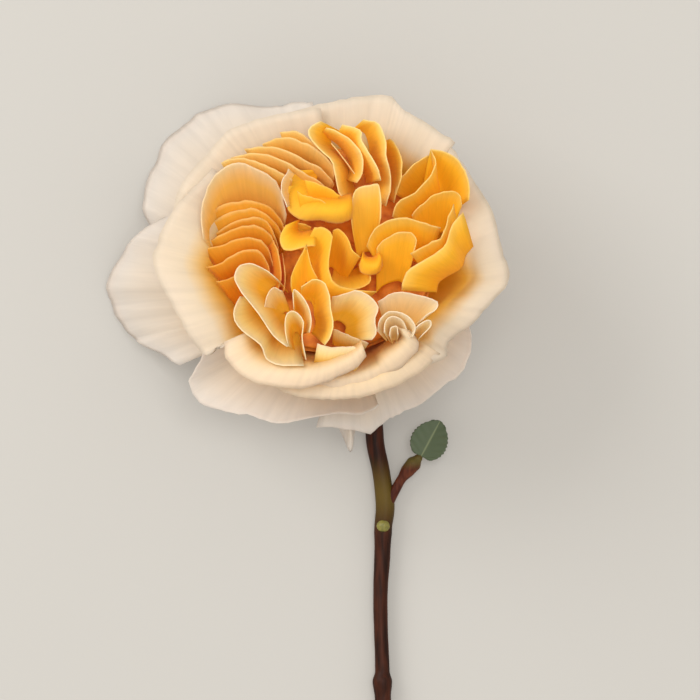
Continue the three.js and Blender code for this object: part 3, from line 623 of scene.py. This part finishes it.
# The right quarter: broad petals leaning out, one before another, the strongest yellow.
ROUNDED = [0.2, 0.6, 0.6, 1.05]
wing_skin = petal_skin(
    "wing_petal_skin", (249, 194, 26), (249, 203, 48), (244, 208, 90), (246, 219, 136))
whorl(wing_skin, 2.6, 1.2, 0.1, 0.5, {
    "wing_1": [LEANING, [[17.4, 31, -4], [19.6, 28, -2], [20.7, 24, -2], [20.2, 20, -3],
      [18.6, 15, -5]], [16, 24, -12, 0.8]],
    "wing_4": [SPOON, [[27.6, 28.2, 0], [31.5, 27.6, 0], [35, 25, -1], [36.8, 20.5, -1],
      [37.2, 15.5, -2]], [29.5, 16.5, -9, 0.6]],
    "wing_3": [SPOON, [[18.2, 11.3, -3], [19.2, 14.8, -1], [24.2, 18, 0], [27.5, 21.6, 1],
      [28.8, 24.4, 1], [27.6, 28, 0]], [28, 12, -9, 0.6]],
    "wing_5": [SPOON, [[23, 11.6, -3], [25, 14.4, -1], [28, 16.6, 0], [31.6, 17.6, 0], [34.2, 17, 0],
      [35.2, 14, -2]], [29, 6, -9, 0.6]],
    "wing_6": [SPOON, [[11.7, 4, -3], [12.6, 7, -1], [14.8, 9.6, 0], [18, 10.7, 1], [23, 10.9, 1],
      [27, 9.2, 1], [30.2, 8.6, 0]], [21, -1, -8, 0.6]],
    "wing_8": [LEANING, [[22.6, 2, 0], [26, 4, 1], [29.6, 5.6, 2], [31, 8, 2], [31.8, 11, 1],
      [33.2, 14.4, 0]], [32, 1, -6, 0.8]],
    "wing_9": [ROUNDED, [[20.4, -7, 0], [21.2, -3, 2], [24.6, -0.2, 3], [28.4, 1.8, 3], [31.2, 4.2, 3],
      [32.4, 8.4, 2], [35.6, 12.3, 1]], [33.6, -2, -8, 0.6]],
    "wing_2": [SPOON, [[18.6, 17.3, -4], [20.2, 21.3, -3], [23.8, 24.8, -3], [27.3, 26.6, -3]],
      [26, 18, -11, 0.7]],
    "wing_7": [SPOON, [[14.2, 3.2, -2], [15.8, 5.2, -1], [18.8, 6.9, 0], [22.6, 7.5, 0],
      [24.2, 5.6, 0], [23.3, 1.8, -1]], [18, -6.5, -8, 0.7]],
})

# The front quarter: tongues and folds that stand free of the cup, pale with warm hollows.
front_skin = petal_skin(
    "front_petal_skin", (248, 204, 60), (248, 230, 164), (245, 229, 188), (244, 229, 196))
whorl(front_skin, 2.6, 1.2, 0.1, 0.4, {
    "tongue_outer": [SPOON, [[-20.2, -8.6, 0], [-21.6, -12.5, 1], [-21.2, -14.8, 1], [-18.5, -18, 1],
      [-14.6, -21, 1], [-13.5, -24, 0], [-10.5, -25.8, 0], [-4, -26, 0]], [-11, -14, -9, 0.5]],
    "tongue_inner": [SPOON, [[-10.6, -4.4, 0], [-14, -1.4, 2], [-17.5, 0, 3], [-20.4, -1.2, 3],
      [-21.3, -3.8, 3], [-20.4, -6.6, 3], [-15, -13.5, 3], [-11.5, -18.6, 2.5], [-8, -21, 2]],
      [-10, -9, -8, 0.4]],
    "front_fold_1": [SPOON, [[-7.6, -21, 0], [-8.6, -16, 1.5], [-8, -12.6, 2.5], [-6.4, -12.2, 3],
      [-4.3, -14.6, 3], [-4.5, -19, 2], [-3.4, -24.4, 1]], [-5.6, -20, -6, 0.5]],
    "front_fold_2": [SPOON, [[-6.8, -11.4, 1], [-6.6, -6.8, 3], [-4.8, -8.4, 4], [-3, -10.8, 4],
      [-2.2, -14.5, 4], [-2.8, -17.6, 2]], [-5, -15, -6, 0.5]],
    "front_shell": [SPOON, [[3, -8.8, 1], [6, -8.3, 2], [9.6, -7.4, 3], [13, -9.4, 4],
      [14.6, -11.4, 4], [13.8, -14.6, 4], [14.1, -17.8, 3.5], [12.8, -19.4, 2]], [5, -16.5, -6, 0.4]],
    "front_pleat": [LEANING, [[3.4, -16.6, -2], [6, -17.8, -2], [9, -19, -2], [12, -20.6, -3]],
      [6.5, -22, -8, 0.8]],
    "front_shelf": [ROUNDED, [[-0.6, -20.4, 0], [3, -21.2, 0.5], [6.5, -21.2, 0.5], [9.8, -21.6, 0.5],
      [11, -24, 0]], [3.6, -27, -6, 0.8]],
    "tongue_hollow": [SPOON, [[-14.4, -13.6, -4], [-13.4, -9, -3], [-12, -6.4, -3], [-9.4, -7, -3]],
      [-9, -14, -9, 0.6]],
})
whorl(fold_skin, 2.6, 1.2, 0.1, 0.3, {
    "front_yellow": [SPOON, [[-4.6, -6.4, 1], [-1.6, -4.5, 3], [1, -5, 4], [2.5, -8.4, 4.5],
      [2.6, -11.6, 5], [3.5, -15.4, 5], [2.6, -19, 4], [1.3, -20.8, 2]], [-2.4, -13, -6, 0.5]],
})

# The rosette: a small separate whorl at the front right, the palest of the inner petals.
rosette_skin = petal_skin(
    "rosette_petal_skin", (242, 206, 124), (243, 221, 170), (242, 226, 194), (243, 229, 203))
whorl(rosette_skin, 2.6, 1.2, 0.1, 0.25, {
    "rosette_1": [SPOON, [[14.4, -10, 1], [17.4, -8, 2], [21.5, -7.6, 3], [26, -8.6, 3], [29.2, -10.2, 2],
      [28.6, -11.8, 2], [26.8, -12.8, 2], [25.4, -14.6, 1]], [20, -17, -4, 0.4]],
    "rosette_2": [SPOON, [[14.4, -17.4, 2], [14.8, -14.6, 4], [16.6, -12.6, 5], [19.2, -12.4, 5],
      [22.4, -14, 5], [23.8, -16.6, 4], [23, -18.8, 3]], [18.6, -19, -3, 0.4]],
    "rosette_3": [SPOON, [[22.2, -19.2, 2], [24.6, -16, 4], [27.2, -14.6, 4], [27.6, -15.8, 3.5],
      [25.2, -18.8, 2]], [22.6, -20.4, -3, 0.4]],
    "rosette_4": [SPOON, [[16, -17.6, 3], [16.4, -15, 4], [18, -13.8, 4.5], [20.4, -14.8, 4],
      [21.6, -17, 3]], [18.6, -19.4, -3, 0.4]],
    "rosette_5": [SPOON, [[17.3, -18.4, 2.5], [17.8, -16.2, 3.5], [19.2, -16, 3.5], [19.7, -18, 3]],
      [18.6, -20, -3, 0.4]],
})

# The heart: small crumpled petals round the dark hollow in the middle.
DOMED = [0.05, 1.5, 0.65, 1.9]
heart_skin = petal_skin(
    "heart_petal_skin", (248, 186, 26), (248, 201, 44), (248, 207, 68), (247, 212, 102))
whorl(heart_skin, 2, 1.5, 0.1, 1.4, {
    "heart_hood": [DOMED, [[-7, 23, -2], [-9.6, 19, -3], [-8.8, 14.2, -2], [-6.3, 11.8, -1],
      [-2, 10.3, 0], [4, 9.9, 0], [8, 11, -1]], [2.5, 19, -5, 0.5]],
})
whorl(rosette_skin, 2, 1.5, 0.1, 0.3, {
    "heart_lens": [SPOON, [[-7.9, 23.4, 0], [-9.5, 20.5, 1], [-9.9, 17.8, 1], [-8.3, 13.8, 1]],
      [-7.2, 18.6, -2, 0.8]],
})
whorl(heart_skin, 2, 1.5, 0.1, 0.5, {
    "heart_beak": [ROUNDED, [[-8.8, 9.2, 0], [-10.2, 5.8, 0], [-9.4, 3.4, 0.5], [-7.6, 2.8, 1],
      [-4.5, 3.5, 1], [-1.2, 4.2, 0]], [-4, 8.6, -4, 0.5]],
    "heart_blade_1": [SPOON, [[-7.2, -6, -1], [-6.6, -2.5, 0], [-4.6, 2, 1], [-3.4, 4.3, 1],
      [-2.2, 0.6, 0], [-0.6, -4, -1]], [-3.8, -8.5, -4, 0.7]],
    "heart_ring": [SPOON, [[3.2, 8, -1], [4.8, 8.2, 0], [6.9, 6, 0], [8.3, 2.6, 0], [10, 1.2, -1]],
      [4, -3, -9, 0.6]],
    "heart_floor": [LEANING, [[-1.5, 8.5, 1], [0.6, 8.7, 1], [2.6, 7.4, 1], [2.5, 3.4, 1], [2.1, -2.4, 0],
      [3.6, -5.4, 0], [7.5, -6.8, 0], [14.2, -7.4, 0]], [-1, -6, -7, 0.85]],
    "heart_crumple_1": [SPOON, [[-3.8, 20.6, 3], [-1.2, 19.8, 4], [2, 18.6, 4], [5, 16.6, 3.5]],
      [0.4, 14.6, 0.5, 0.7]],
    "heart_crumple_2": [SPOON, [[-5.6, 17.6, 2.5], [-3, 16.4, 3.5], [0.2, 15.6, 3.5], [2.4, 13.6, 3]],
      [-1.6, 11.6, 0, 0.8]],
    "heart_knob": [DOMED, [[9.6, -0.6, -3], [10.3, -2.6, -3], [12.6, -3.4, -2.5], [14.8, -2.8, -2.5],
      [15.8, -0.8, -3]], [12.8, 2, -5, 0.6]],
    "heart_cup": [SPOON, [[10.4, 1, -3], [12, -2, -3], [12.6, -4.8, -3], [9, -6.4, -2.5], [5, -5.8, -3],
      [3, -4, -4]], [7, -0.5, -10, 0.6]],
    "heart_slip": [SPOON, [[-6.6, 9.4, -3], [-5.2, 9.4, -2], [-3.6, 9, -2], [-2.2, 8.6, -3]],
      [-5, 3, -10, 0.6]],
})

# The imported petal bases: below the folds the petals press into one warm mass round the hollow.
# It stands on the hip, is deeper in the middle, and has a ribbed top where the petals meet. Its dark
# orange-brown is painted shade of the deep hollow over the petals' own warm claw colour.


def bases(u, v):
    turn = math.pi * u
    x = 3 + 26 * v * math.cos(turn)
    y = 3 + 25 * v * math.sin(turn)
    ribs = 0.9 * noise.noise(Vector((x / 2.2, y / 2.2, 4))) + 0.8 * math.sin(17 * turn) * v * (1 - v)
    hollow = 6 * math.exp(-((v / 0.25) ** 2))
    return face_point(x, y, ribs - hollow - 11.7)


# Painted shade: this dark orange-brown mottle stands in for the shade at the bottom of the bloom.
base_skin_and_shade = mottled("petal_base_skin", (184, 92, 8), (222, 134, 22), 260, 0.7, 0.4)
restyle("petal_bases", base_skin_and_shade)
ribs = sheet("bases_ribs", bases, 0.4, 120, 40, base_skin_and_shade)

# The camera looks straight down on the bloom, and the stem runs out of the bottom of the frame.
camera = bpy.data.objects.new("camera", bpy.data.cameras.new("camera"))
camera.data.lens = 400
camera.data.clip_end = 10
camera.location = to_part(Vector((7.5, -22, 50))) + Vector((0, 0, 0.175 * 400 / 36))
scene.collection.objects.link(camera)
scene.camera = camera
